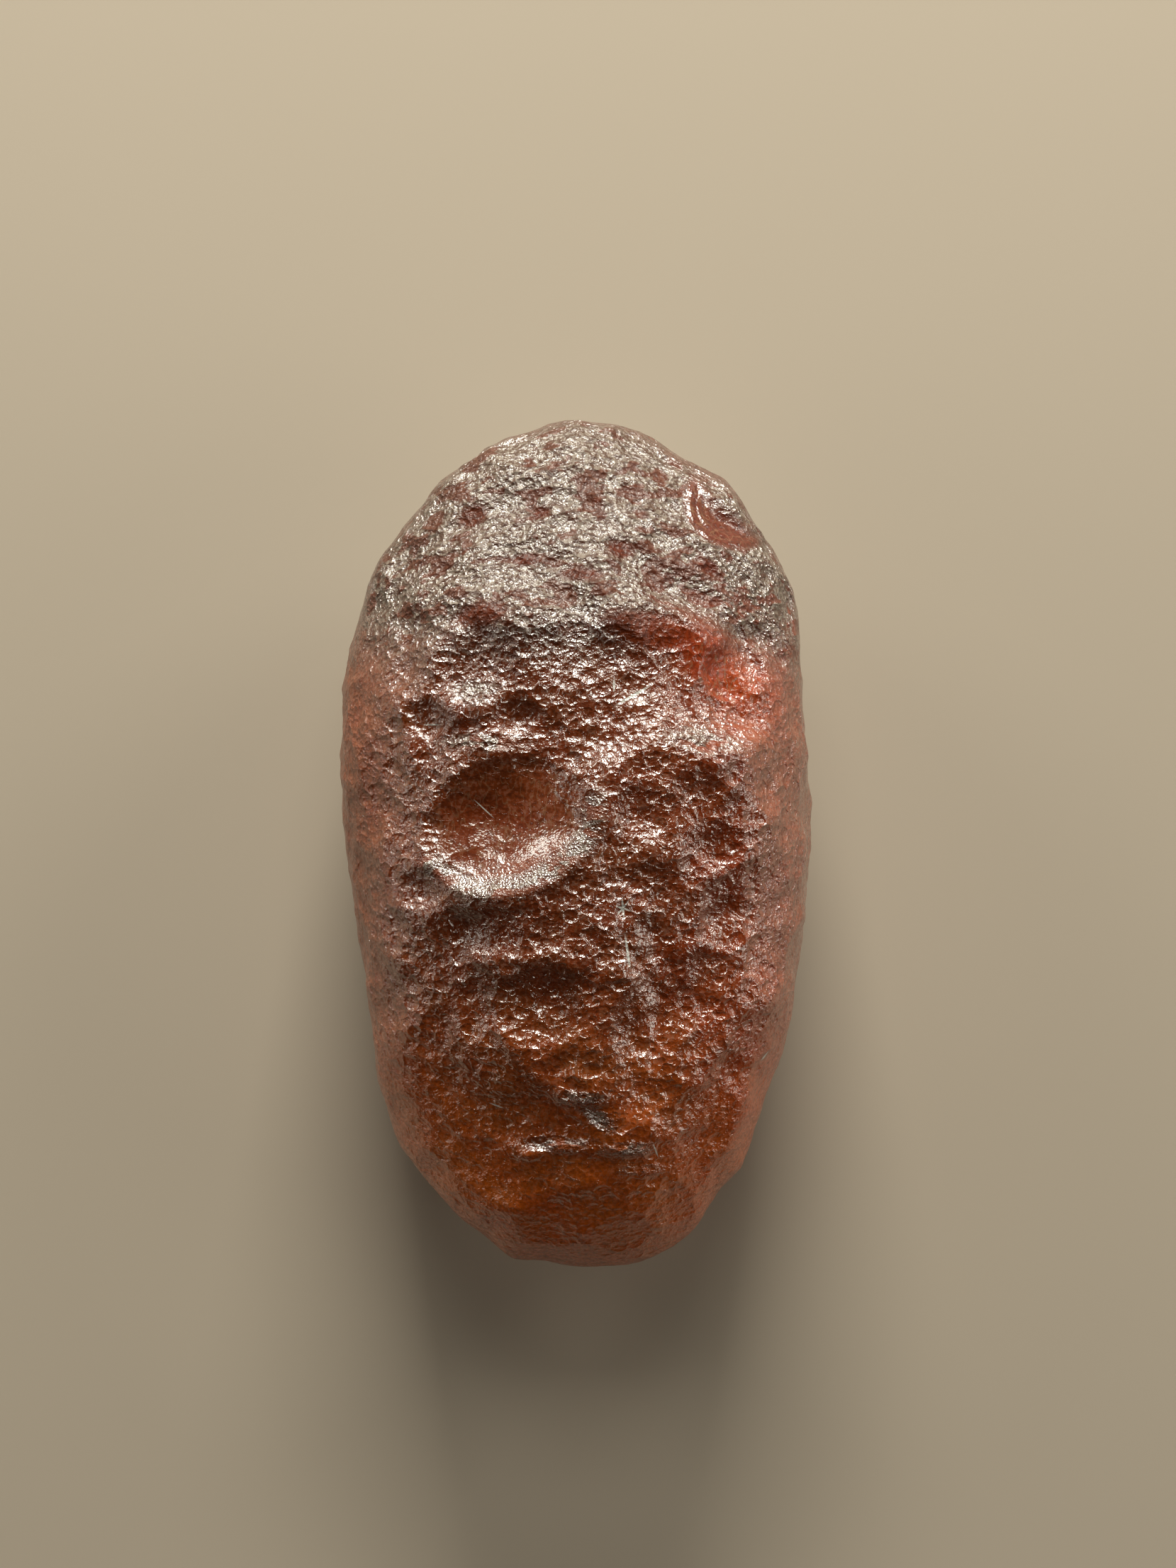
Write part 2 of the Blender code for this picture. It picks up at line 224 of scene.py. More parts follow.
SMALL_FORMS = (
    (2.0, 14.6, 3.1, 1.2, -20, -0.48),
    (-3.6, 14.6, 3.3, 1.2, 15, -0.28),
    (-1.2, 11.4, 3.6, 1.7, 15, 0.55),
    (4.2, 11.1, 1.6, 1.4, -40, -0.55),
    (-0.5, 10.7, 2.5, 0.9, -45, -0.55),
    (-5.4, 10.0, 0.7, 0.7, -15, -0.27),
    (7.2, 9.2, 1.7, 0.8, 5, -0.41),
    (0.7, 9.2, 3.6, 1.7, 35, 0.55),
    (3.1, 8.5, 2.1, 1.2, -5, 0.55),
    (-5.9, 8.5, 2.5, 1.0, 55, 0.50),
    (6.3, 8.4, 3.4, 1.0, -40, 0.50),
    (-2.3, 8.3, 1.9, 1.2, -40, 0.41),
    (-3.1, 6.5, 3.6, 0.9, -5, -0.19),
    (4.5, 6.5, 1.8, 0.8, -65, -0.31),
    (6.4, 5.4, 2.0, 1.1, 40, -0.34),
    (-5.9, 4.6, 1.7, 0.9, -15, -0.41),
    (-1.2, 4.6, 3.6, 1.1, -5, -0.52),
    (-1.6, 3.9, 3.5, 1.2, -25, -0.30),
    (7.4, 2.0, 1.2, 0.9, -40, 0.55),
    (3.3, 1.8, 3.6, 1.2, 10, 0.34),
    (-7.8, 1.5, 3.2, 1.6, 30, -0.41),
    (-2.8, 1.0, 1.4, 1.1, 20, 0.08),
    (6.9, 0.0, 3.4, 1.6, 0, 0.33),
    (-1.4, -0.7, 1.7, 0.8, 30, 0.40),
    (6.4, -2.5, 1.1, 0.9, 50, -0.36),
    (1.1, -2.8, 2.9, 0.9, -25, 0.20),
    (-1.9, -3.5, 2.0, 0.7, -90, 0.32),
    (-1.8, -3.5, 0.9, 0.8, 75, -0.23),
    (3.0, -3.7, 2.2, 1.2, -50, -0.55),
    (-2.1, -3.7, 2.5, 1.0, 10, 0.38),
    (-0.3, -4.9, 2.4, 0.9, 40, 0.15),
    (-7.9, -5.2, 2.8, 0.6, 40, 0.11),
    (-1.8, -5.8, 1.9, 0.6, -10, 0.11),
    (-1.3, -6.2, 1.5, 1.0, -55, -0.53),
    (-4.8, -6.4, 3.6, 1.7, -85, -0.55),
    (8.0, -6.4, 2.7, 1.2, -25, 0.30),
    (-1.2, -6.6, 1.3, 0.8, -10, 0.31),
    (4.6, -7.3, 3.6, 1.7, 30, -0.48),
    (-5.2, -7.4, 1.3, 0.8, -80, 0.40),
    (1.1, -9.2, 3.6, 1.2, -5, -0.39),
    (-5.7, -10.0, 1.7, 1.4, 50, -0.34),
    (6.6, -10.1, 1.2, 0.7, 65, -0.32),
    (0.2, -10.2, 1.2, 0.9, 90, 0.45),
    (1.7, -10.4, 3.3, 1.1, -75, 0.25),
    (-1.4, -11.2, 2.2, 0.9, 0, -0.29),
    (3.9, -12.2, 1.6, 0.7, 10, 0.25),
    (-2.7, -13.5, 3.6, 1.7, -40, -0.34),
)
GLINT_ROWS = (
    (0.3, -10.9, 1.4, 0.30, -5, 0.13),
    (-2.4, -13.5, 0.7, 0.22, 0, 0.10),
    (-0.6, -13.1, 1.1, 0.25, -3, 0.12),
    (2.0, -13.2, 1.4, 0.28, 0, 0.12),
    (-2.9, -14.2, 0.5, 0.20, 0, 0.08),
    (2.9, -14.2, 1.2, 0.22, 3, 0.09),
    (4.7, -14.8, 0.6, 0.22, -35, 0.08),
)
BACK_BOWLS = (
    (-5.2, 8.4, 2.6, 2.0, 30, 0.55),
    (5.6, 6.8, 2.0, 1.6, -25, 0.40),
    (6.2, -5.6, 2.4, 1.7, 60, 0.50),
    (-6.4, -5.2, 2.0, 1.5, 15, 0.42),
    (0.8, 12.6, 2.2, 1.4, -10, 0.45),
    (-1.4, -12.4, 2.6, 1.6, 8, 0.50),
)
CHIP_MIDDLE = (7.20, 15.40)
CHIP_REACHES = (2.40, 1.95, 1.45, 1.00)
CHIP_RISER = 0.22
CHIP_STEP_DEPTH = 0.13
CHIP_SIDE_FADE = (0.2, 1.2)
CREASE = ((2.0, -2.6), (2.1, -4.3), (3.2, -5.6), (3.8, -6.6), (3.6, -9.0))
CREASE_HALF_WIDTH = 0.35
CREASE_DEPTH = 0.12


def oval_distance(points, x, y, half_length, half_width, turn):
    """The squared distance from an oval's middle, seen from above, where 1 is the oval's edge."""
    angle = math.radians(turn)
    along = (points[:, 0] - x) * math.cos(angle) + (points[:, 1] - y) * math.sin(angle)
    aside = (points[:, 1] - y) * math.cos(angle) - (points[:, 0] - x) * math.sin(angle)
    return (along / half_length) ** 2 + (aside / half_width) ** 2


def swells(points, ovals):
    """The sum of the swells, each its height times e to the minus squared oval distance."""
    return sum(height * np.exp(-oval_distance(points, *oval)) for *oval, height in ovals)


def bowls(points, ovals):
    """The depth of the deepest bowl at each point, each its depth times 1 less the squared oval distance."""
    depth = np.zeros(len(points))
    for *oval, deepest in ovals:
        depth = np.maximum(depth, deepest * (1.0 - oval_distance(points, *oval)))
    return depth


def chips(points):
    """The depth of the nested shell-shaped chips: steps down towards their middle, each with a soft riser."""
    offset = points[:, :2] - np.array(CHIP_MIDDLE)
    away = np.hypot(offset[:, 0], offset[:, 1])
    steps = sum(1.0 - soft_step(away, reach - CHIP_RISER, reach) for reach in CHIP_REACHES)
    return CHIP_STEP_DEPTH * steps * chip_side(points)


def chip_side(points):
    """1 on the lower left of the chips' middle, where the shell steps are, and 0 on its other side."""
    offset = points[:, :2] - np.array(CHIP_MIDDLE)
    return soft_step(-(offset[:, 0] + offset[:, 1]), *CHIP_SIDE_FADE)


def line_distance(points, line):
    """The distance to the nearest of the straight runs between a line's points, seen from above."""
    nearest = np.full(len(points), np.inf)
    for start, end in itertools.pairwise(np.array(line)):
        run = end - start
        share = np.clip((points[:, :2] - start) @ run / (run @ run), 0.0, 1.0)
        gap = points[:, :2] - start - share[:, None] * run
        nearest = np.minimum(nearest, np.hypot(gap[:, 0], gap[:, 1]))
    return nearest


def crease(points):
    """The depth of the crease: a bell-shaped groove along its line."""
    return CREASE_DEPTH * np.exp(-((line_distance(points, CREASE) / CREASE_HALF_WIDTH) ** 2))


print("relief:", len(SWELLS + SMALL_FORMS + GLINT_ROWS), "swells and", len(FRONT_BOWLS + BACK_BOWLS), "bowls")

# %% [markdown]
# ## Scattered cups
#
# Etching eats natural glass into cups that crowd and cut each other, from several millimetres down to less
# than half a millimetre. Smooth noise looks like dough here, because it has round tops where the glass has
# sharp ridges. So each cell of space gets one cup with its own centre and radius, and the deepest cup at a
# point counts. The two largest sizes are in the solid too. The smaller ones are this skin's own. Each size
# is given by its cell in millimetres, its steepness and the seed of its scatter.

# %% Scattered cups
SCATTERED_CUPS = (
    (4.6, 0.08, 11),
    (2.3, 0.09, 12),
)
CUP_ALLOWANCE = 0.14
FINE_CUPS = (
    (1.50, 0.08, 13),
    (0.85, 0.11, 14),
)
SMALLEST_RADIUS = 0.45
RADIUS_RANGE = 0.5
CELL_FACTORS = (73856093, 19349663, 83492791)
SALT_FACTOR = 40503
MIX_ROUNDS = 3
MIX_FACTOR = 1103515245
MIX_OFFSET = 12345
MIX_BITS = 0x7FFFFFFF
DRAW_BITS = 0xFFFF


def scattered(cells, salt):
    """A repeatable value from 0 to 1 for each cell, mixed from its three whole numbers and the salt."""
    x, y, z = (cells * np.array(CELL_FACTORS)).T
    mixed = x ^ y ^ z ^ salt * SALT_FACTOR
    for _ in range(MIX_ROUNDS):
        mixed = (mixed * MIX_FACTOR + MIX_OFFSET) & MIX_BITS
        mixed = mixed ^ mixed >> 15
    return (mixed & DRAW_BITS) / DRAW_BITS


def cups(points, cell_size, steepness, seed):
    """The depth of the scattered cups. Each cell of space holds one cup with its own centre and radius.

    A cup of radius r is steepness * (r - distance squared / r) deep, and the deepest cup at a point counts.
    """
    scaled = points / cell_size
    home = np.floor(scaled).astype(np.int64)
    deepest = np.zeros(len(points))
    for step in itertools.product((-1, 0, 1), repeat=3):
        cell = home + np.array(step)
        centre = cell + np.stack([scattered(cell, 10 * seed + axis) for axis in range(3)], axis=1)
        radius = SMALLEST_RADIUS + RADIUS_RANGE * scattered(cell, 10 * seed + 3)
        squared = ((scaled - centre) ** 2).sum(axis=1)
        deepest = np.maximum(deepest, radius - squared / radius)
    return steepness * cell_size * deepest


# %% [markdown]
# ## Where the glass is frosted, pitted or bare
#
# Etching isn't even. The upper dome is frosted all over with the finest ridges, the middle has fewer ridges
# and more separate pits, and the floor of the thumbprint is nearly smooth, with a frosted crescent below
# it. Small spots on the dome, the chips and parts of the flanks have lost their white gloss. A painted map
# could say all that, but a few zones with soft edges are easier to move. Three values per point say how
# frosted, how pitted and how bare the glass is there. The pits' value also scales the fine cups in the
# mesh, so the form and the finish agree.

# %% Zones of the skin
FRONT_FADE = (0.0, 0.3)
DOME_FADE = (7.0, 11.5)
LOWER_FADE = (-12.0, -4.0)
THUMBPRINT_FADE = (0.3, 1.2)
CHIP_FADE = (2.0, 2.5)
FLANK_FADE = (0.7, 1.0)
LOWER_FLANK_FADE = (0.65, 0.90)
LEFT_FLANK_FADE = (0.70, 0.95)
BARE_FADE = (0.15, 0.65)
# The red spot: the place in the upper right that gets the most painted red glow, with less frost, pits and
# gloss.
GLOW_SPOT = (6.1, 8.0, 2.5, 1.2, -42)
FROSTED_PATCHES = (
    (5.4, 4.6, 2.2, 0.9, -8),
    (-4.4, 6.8, 1.6, 0.9, 0),
    (-4.0, 4.6, 3.0, 0.5, 0),
    (0.3, -10.8, 1.6, 0.40, -5),
    (-0.9, -13.0, 2.4, 0.45, 3),
    (2.3, -13.1, 1.6, 0.45, 0),
    (1.0, -11.8, 1.4, 0.50, -35),
    (2.8, -14.1, 1.5, 0.30, 3),
)
CRESCENT = ((-6.5, -0.7), (-4.4, -1.9), (-2.1, -1.6), (-0.5, -0.6), (0.6, 0.6), (0.8, 2.0))
CRESCENT_HALF_WIDTH = 0.75
BARE_SPOTS = (
    (2.00, 13.10, 0.65, 0.50, 0),
    (-4.70, 14.70, 0.75, 0.45, 25),
    (-1.60, 14.85, 0.50, 0.30, 0),
    (0.90, 15.30, 0.35, 0.20, 0),
    (0.20, 11.80, 1.10, 0.35, -5),
    (-4.00, 10.00, 1.30, 0.55, 10),
    (-2.20, 12.60, 0.80, 0.30, 5),
    (3.20, 9.30, 2.20, 0.80, -10),
    (5.90, 12.30, 0.60, 0.35, -30),
)


def highest_bell(points, ovals):
    """The highest of the ovals' bells: e to the minus squared oval distance, 1 in an oval's middle."""
    return np.max([np.exp(-oval_distance(points, *oval)) for oval in ovals], axis=0)


def skin_zones(points, directions):
    """How far each point lies in each of the skin's zones, from 0 outside it to 1 well inside."""
    front = soft_step(directions[:, 2], *FRONT_FADE)
    dome = soft_step(points[:, 1], *DOME_FADE)
    lower = 1.0 - soft_step(points[:, 1], *LOWER_FADE)
    from_middle = np.hypot(points[:, 0] / (0.5 * WIDTH), points[:, 1] / (0.5 * LENGTH))
    from_chips = np.hypot(*(points[:, :2] - np.array(CHIP_MIDDLE)).T)
    from_thumbprint = oval_distance(points, *FRONT_BOWLS[0][:5])
    return {
        "front": front,
        "dome": dome,
        "lower": lower,
        "flank": soft_step(from_middle, *FLANK_FADE),
        "lower flank": lower * soft_step(from_middle, *LOWER_FLANK_FADE),
        "left flank": (1.0 - dome) * soft_step(-points[:, 0] / (0.5 * WIDTH), *LEFT_FLANK_FADE),
        "thumbprint": front * (1.0 - soft_step(from_thumbprint, *THUMBPRINT_FADE)),
        "crescent": front * np.exp(-((line_distance(points, CRESCENT) / CRESCENT_HALF_WIDTH) ** 2)),
        "patches": front * highest_bell(points, FROSTED_PATCHES),
        "chips": front * chip_side(points) * (1.0 - soft_step(from_chips, *CHIP_FADE)),
        "red spot": front * np.exp(-oval_distance(points, *GLOW_SPOT)),
        "bare spots": front * soft_step(highest_bell(points, BARE_SPOTS), *BARE_FADE),
    }


# %% Frosting, pitting and bareness
FROST_EVERYWHERE = 0.45
FROST_MORE_ON_DOME = 0.55
FROST_LESS_BELOW = 0.10
FROST_MORE_ON_FLANKS = 0.15
FROST_LOST = {"thumbprint": 0.25, "chips": 0.70, "red spot": 0.60}
PITS_EVERYWHERE = 0.70
PITS_MORE_ON_FRONT = 0.20
PITS_MORE_ON_DOME = 0.30
PITS_LESS_BELOW = 0.20
PITS_LOST = {"thumbprint": 0.75, "chips": 0.90, "red spot": 0.35, "lower flank": 0.35}
BARE_SHARES = {
    "bare spots": 1.0, "red spot": 0.95, "chips": 0.80, "left flank": 0.55, "lower flank": 0.40,
}


def frosting_of(zone):
    """How strong the frost is: most on the dome, patches and crescent, least in the chips and red spot."""
    frosting = FROST_EVERYWHERE + zone["front"] * (
        FROST_MORE_ON_DOME * zone["dome"] - FROST_LESS_BELOW * zone["lower"]
    )
    frosting += FROST_MORE_ON_FLANKS * zone["flank"] * (1.0 - zone["dome"])
    frosting *= 1.0 - FROST_LOST["thumbprint"] * zone["thumbprint"]
    frosting = np.max([frosting, zone["patches"], zone["crescent"]], axis=0)
    for name in ("chips", "red spot"):
        frosting *= 1.0 - FROST_LOST[name] * zone[name]
    return frosting


def pitting_of(zone):
    """How strong the pits are: most on the dome, least in the thumbprint, its crescent and the chips."""
    pitting = PITS_EVERYWHERE + zone["front"] * (
        PITS_MORE_ON_FRONT + PITS_MORE_ON_DOME * zone["dome"] - PITS_LESS_BELOW * zone["lower"]
    )
    pitting *= 1.0 - PITS_LOST["thumbprint"] * np.maximum(zone["thumbprint"], zone["crescent"])
    for name in ("chips", "red spot", "lower flank"):
        pitting *= 1.0 - PITS_LOST[name] * zone[name]
    return pitting


def bareness_of(zone):
    """How bare of gloss the glass is: the highest of the zones' shares."""
    return np.max([share * zone[name] for name, share in BARE_SHARES.items()], axis=0)


# %% [markdown]
# ## Where glow is painted into the glass
#
# Light gets in at the sides and out again where the glass is thin, so the rim, the lower end and the right
# side look paler and warmer than the thick middle, and one spot in the upper right glows red. Tracing that
# would need a bright surrounding and long renders, so that light is painted into the body colour instead.
# Two more values per point, worked out from where it lies, say how much painted glow a place gets and how
# red it is. The painted glow is cut on the dome, which the lights already brighten.

# %% Painted glow and redness
RIM_FADE = (0.62, 1.0)
LOWER_END_FADE = (0.15, 0.9)
UPPER_END_FADE = (0.25, 0.65)
RIGHT_FADE = (0.0, 0.9)
GLOW_SHARES = {"everywhere": 0.22, "rim": 0.20, "right": 0.18, "lower end": 0.50, "red spot": 0.28}
GLOW_LOST_ABOVE = 0.85
RED_SHARES = {"everywhere": 0.25, "right": 0.45, "red spot": 0.45}
RED_LOST_BELOW = 0.35
REDDEST = 0.8


def painted_glow_and_redness(points, zone):
    """How much painted glow each point gets, and how red the glass is there, from 0 to 1: shares of the
    zones, added.
    """
    x, y = points[:, 0] / (0.5 * WIDTH), points[:, 1] / (0.5 * LENGTH)
    rim = soft_step(np.hypot(x, y), *RIM_FADE)
    lower_end = soft_step(-y, *LOWER_END_FADE)
    upper_end = soft_step(y, *UPPER_END_FADE)
    right = soft_step(x, *RIGHT_FADE)
    # Painted glow: paler, warmer colour at the rim and the right side, less on the dome, more at the lower
    # end and the red spot.
    thin = GLOW_SHARES["everywhere"] + GLOW_SHARES["rim"] * rim + GLOW_SHARES["right"] * right
    painted_glow = thin * (1.0 - GLOW_LOST_ABOVE * upper_end)
    painted_glow += GLOW_SHARES["lower end"] * lower_end + GLOW_SHARES["red spot"] * zone["red spot"]
    redness = RED_SHARES["everywhere"] + RED_SHARES["right"] * right
    redness += RED_SHARES["red spot"] * zone["red spot"] - RED_LOST_BELOW * lower_end
    return np.clip(painted_glow, 0.0, 1.0), np.clip(redness, 0.0, REDDEST)


# %% [markdown]
# ## The whole surface
#
# Form and finish come from one function of a direction: the blank with its flats, then the relief laid on
# along the outward direction, the front's on the front and the back's on the back. Moving the relief in and
# out, and not just up and down, keeps the cups round on the steep sides.

# %% Surface
RELIEF_FADE = (0.05, 0.35)


def pebble_surface(directions):
    """Each direction's point on the skin in mm from the outline's middle, and its values for the finish."""
    points = planed(blank(directions))
    on_front = soft_step(directions[:, 2], *RELIEF_FADE)
    on_back = soft_step(-directions[:, 2], *RELIEF_FADE)
    relief = on_front * (swells(points, SWELLS + SMALL_FORMS + GLINT_ROWS) - bowls(points, FRONT_BOWLS))
    relief -= on_front * (chips(points) + crease(points))
    relief -= on_back * bowls(points, BACK_BOWLS)
    relief += CUP_ALLOWANCE - sum(cups(points, *layer) for layer in SCATTERED_CUPS)
    zone = skin_zones(points, directions)
    finish = {"frosting": frosting_of(zone), "pitting": pitting_of(zone), "bareness": bareness_of(zone)}
    finish["painted_glow"], finish["redness"] = painted_glow_and_redness(points, zone)
    relief -= finish["pitting"] * sum(cups(points, *layer) for layer in FINE_CUPS)
    outwards = directions / np.array((WIDTH, LENGTH, FRONT_RISE + BACK_DROP))
    outwards /= np.linalg.norm(outwards, axis=1)[:, None]
    return points + relief[:, None] * outwards, finish


# %% [markdown]
# ## One closed skin from six grids
#
# A globe's net bunches its faces at two poles, and they show as pinches in a glossy stone. Six grids, one
# for each side of a box, spread them evenly and meet along shared edges. Each grid is a function of two
# parameters. Counting the box's lattice in whole numbers makes the shared points exactly equal, so merging
# them closes the skin.

# %% Six grids
GRID_STEPS = (113, 198, 88)


def box_side(axis, at_high_end):
    """One side of the lattice box: its points as whole numbers, and its quads as places in that list."""
    first, second = (axis + 1) % 3, (axis + 2) % 3
    a, b = np.meshgrid(np.arange(GRID_STEPS[first] + 1), np.arange(GRID_STEPS[second] + 1), indexing="ij")
    lattice = np.zeros((a.size, 3), np.int64)
    lattice[:, axis] = GRID_STEPS[axis] if at_high_end else 0
    lattice[:, first] = a.ravel()
    lattice[:, second] = b.ravel()
    place = np.arange(a.size).reshape(a.shape)
    quads = np.stack((place[:-1, :-1], place[1:, :-1], place[1:, 1:], place[:-1, 1:]), axis=-1).reshape(-1, 4)
    return lattice, quads if at_high_end else quads[:, ::-1]


def box_lattice():
    """All six sides, joined into one list of points with the shared ones merged, and one list of quads."""
    sides = [box_side(axis, high) for axis in range(3) for high in (False, True)]
    offsets = np.cumsum([0] + [len(lattice) for lattice, _ in sides[:-1]])
    every_point = np.concatenate([lattice for lattice, _ in sides])
    points, places = np.unique(every_point, axis=0, return_inverse=True)
    quads = np.concatenate([side + offset for (_, side), offset in zip(sides, offsets)])
    return points, places.reshape(-1)[quads]


def lattice_directions(lattice):
    """Unit directions from the box's middle, with each share of a side turned to an equal share of angle."""
    shares = 2.0 * lattice / np.array(GRID_STEPS) - 1.0
    spread = np.tan(shares * math.pi / 4)
    return spread / np.linalg.norm(spread, axis=1)[:, None]


lattice, quads = box_lattice()
directions = lattice_directions(lattice)
skin, finish = pebble_surface(directions)
skin[:, 2] = np.maximum(skin[:, 2] + OUTLINE_HEIGHT, 0.0)
print("skin:", len(skin), "points and", 2 * len(quads), "triangles")
print("size of the skin in mm:", np.round(np.ptp(skin, axis=0), 2))

# %% Put the skin into a mesh
def make_pebble():
    """The pebble's mesh in metres, with the values for its finish on each point."""
    mesh = bpy.data.meshes.new("pebble")
    mesh.from_pydata(skin * METRES_PER_MM, [], quads)
    for name, values in finish.items():
        mesh.attributes.new(name, "FLOAT", "POINT").data.foreach_set("value", values.astype(np.float32))
    mesh.shade_smooth()
    pebble = bpy.data.objects.new("pebble", mesh)
    bpy.context.scene.collection.objects.link(pebble)
    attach(pebble, "root")
    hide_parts("stone")
    return pebble


pebble = make_pebble()
print("pebble:", len(pebble.data.polygons), "faces, with values for", ", ".join(finish))

# %% [markdown]
# ## The glass
#
# Three things make this glass look as it does. Its body is a dark red-brown that lets some light through.
# Its skin is frosted and pitted at sizes that a mesh can't hold, so they are bumps. Over them lies a
# strong gloss, which puts a white glint on the lower rim of each pit, and which has worn off in places. Every
# pattern reads object coordinates or the mesh's own values, so it stays on the stone from any side.

# %% Node helpers
def add_node(tree, kind, values=(), **settings):
    """A new node with its settings, and its inputs filled from pairs of input name and value or socket."""
    node = tree.nodes.new(kind)
    for name, value in settings.items():
        setattr(node, name, value)
    for name, value in values:
        if isinstance(value, bpy.types.NodeSocket):
            tree.links.new(value, node.inputs[name])
        else:
            node.inputs[name].default_value = value
    return node


def calculate(tree, operation, first, second=0.0):
    """The result of one sum on two sockets or numbers."""
    return add_node(tree, "ShaderNodeMath", [(0, first), (1, second)], operation=operation).outputs[0]


def blend_colours(tree, share, first, second):
    """The first colour where the share is 0 and the second where it is 1."""
    node = add_node(tree, "ShaderNodeMix", data_type="RGBA")
    for socket, value in zip((node.inputs[0], node.inputs[6], node.inputs[7]), (share, first, second)):
        if isinstance(value, bpy.types.NodeSocket):
            tree.links.new(value, socket)
        else:
            socket.default_value = value
    return node.outputs[2]


def remap(tree, value, low, high, to_low, to_high):
    """The value carried from one range to another, held at both ends."""
    node = add_node(
        tree, "ShaderNodeMapRange",
        [("Value", value), ("From Min", low), ("From Max", high), ("To Min", to_low), ("To Max", to_high)],
    )
    return node.outputs[0]


def mesh_value(tree, name):
    """One of the values that the mesh holds on its points."""
    return add_node(tree, "ShaderNodeAttribute", attribute_name=name).outputs["Fac"]


def stretched(tree, place, scales):
    """The place with each axis scaled by itself."""
    return add_node(tree, "ShaderNodeMapping", [("Vector", place), ("Scale", scales)]).outputs[0]


def soft_noise(tree, place, scale, detail):
    """Smooth noise about 0.5 with that many waves to the unit of place, and finer layers to that detail."""
    node = add_node(tree, "ShaderNodeTexNoise", [("Vector", place), ("Scale", scale), ("Detail", detail)])
    return node.outputs["Fac"]


# %% [markdown]
# ## Frost and pits as bumps
#
# Each cell of a cellular pattern holds one pit with a radius of its own, the same form as the cups in the
# mesh: a bowl that is steepest at its rim, with flat glass round it. Plain noise has no rims, so it never
# gives the thin bright crescents of the real skin. The frost between the pits is the same thing again, but
# every cell is filled, so that its bowls crowd into sharp ridges, and its cells are warped to differ.

# %% Frost and pits
RIM_POWER = 3.0
PIT_STRETCH = (0.85, 1.05, 1.0)
FROST_STRETCH = (0.90, 1.05, 1.0)


def cells_nearest(tree, place, cell_mm, stretch):
    """The cellular pattern whose cells measure about cell_mm: how far the nearest centre is, and its draw."""
    cells = add_node(
        tree, "ShaderNodeTexVoronoi",
        [("Vector", stretched(tree, place, stretch)), ("Scale", 1.0 / (cell_mm * METRES_PER_MM))],
        feature="F1", voronoi_dimensions="3D",
    )
    draw = add_node(tree, "ShaderNodeSeparateColor", [("Color", cells.outputs["Color"])])
    return cells.outputs["Distance"], draw.outputs[0]


def pits(tree, place, cell_mm, steepness, radii):
    """Depth in metres of one pit in each cell: steepness * radius * (1 less the cube of distance / radius).

    Each cell draws its radius from the two given, in cells. The floor is nearly flat and the rim is steep.
    """
    distance, draw = cells_nearest(tree, place, cell_mm, PIT_STRETCH)
    radius = remap(tree, draw, 0.0, 1.0, *radii)
    share = calculate(tree, "POWER", calculate(tree, "DIVIDE", distance, radius), RIM_POWER)
    bowl = calculate(tree, "MULTIPLY", radius, calculate(tree, "SUBTRACT", 1.0, share))
    bowl = calculate(tree, "MAXIMUM", bowl, 0.0)
    return calculate(tree, "MULTIPLY", bowl, steepness * cell_mm * METRES_PER_MM)


def frost(tree, place, cell_mm, steepness):
    """Height in metres of crowded bowls: steepness * cube of the distance, with ridges between them."""
    distance, _ = cells_nearest(tree, place, cell_mm, FROST_STRETCH)
    bowl = calculate(tree, "POWER", distance, RIM_POWER)
    return calculate(tree, "MULTIPLY", bowl, steepness * cell_mm * METRES_PER_MM)


def warped(tree, place, wave_mm, reach_mm):
    """The place, pushed about by up to half the reach in waves of one size, so that no two cells match."""
    waves = add_node(
        tree, "ShaderNodeTexNoise",
        [("Vector", place), ("Scale", 1.0 / (wave_mm * METRES_PER_MM)), ("Detail", 0.0)],
    )
    push = add_node(
        tree, "ShaderNodeVectorMath", [(0, waves.outputs["Color"]), (1, (0.5, 0.5, 0.5))],
        operation="SUBTRACT",
    )
    push = add_node(
        tree, "ShaderNodeVectorMath", [(0, push.outputs[0]), ("Scale", reach_mm * METRES_PER_MM)],
        operation="SCALE",
    )
    moved = add_node(tree, "ShaderNodeVectorMath", [(0, place), (1, push.outputs[0])], operation="ADD")
    return moved.outputs[0]


# %% [markdown]
# ## The skin's height
#
# A bump reads one height, so every small form is added up into one. Frost of two sizes stands up as ridges,
# pits of three sizes go down, and the deepest pit at a point counts, as for the cups in the mesh. The
# broadest pits belong to the dome alone. The chips get low ramps with sharp risers, and bare spots lie a
# little deeper than the frost round them.

# %% Height of the skin
FROST_POWER = 1.6
COARSE_FROST = (0.24, 0.85)
FINE_FROST = (0.10, 0.60)
COARSE_FROST_FADE = (0.2, 0.7, 0.1, 1.0)
WIDE_PITS = (0.60, 0.38, (0.00, 0.80))
MIDDLING_PITS = (0.36, 0.30, (0.10, 0.85))
BROAD_PITS = (1.20, 0.42, (0.20, 0.90))
BROAD_PITS_FADE = (0.55, 0.90, 0.0, 1.0)
STEP_WIDTH_MM = 0.45
STEP_RISE_MM = 0.12
BARE_DEPTH_MM = 0.07


def frost_ridges(tree, place, bent, frosted, pitted):
    """Height in metres of the frost: both sizes, the coarse one less where there are few pits."""
    coarse = frost(tree, bent, *COARSE_FROST)
    coarse = calculate(tree, "MULTIPLY", coarse, remap(tree, pitted, *COARSE_FROST_FADE))
    both = calculate(tree, "ADD", coarse, frost(tree, place, *FINE_FROST))
    return calculate(tree, "MULTIPLY", both, calculate(tree, "POWER", frosted, FROST_POWER))


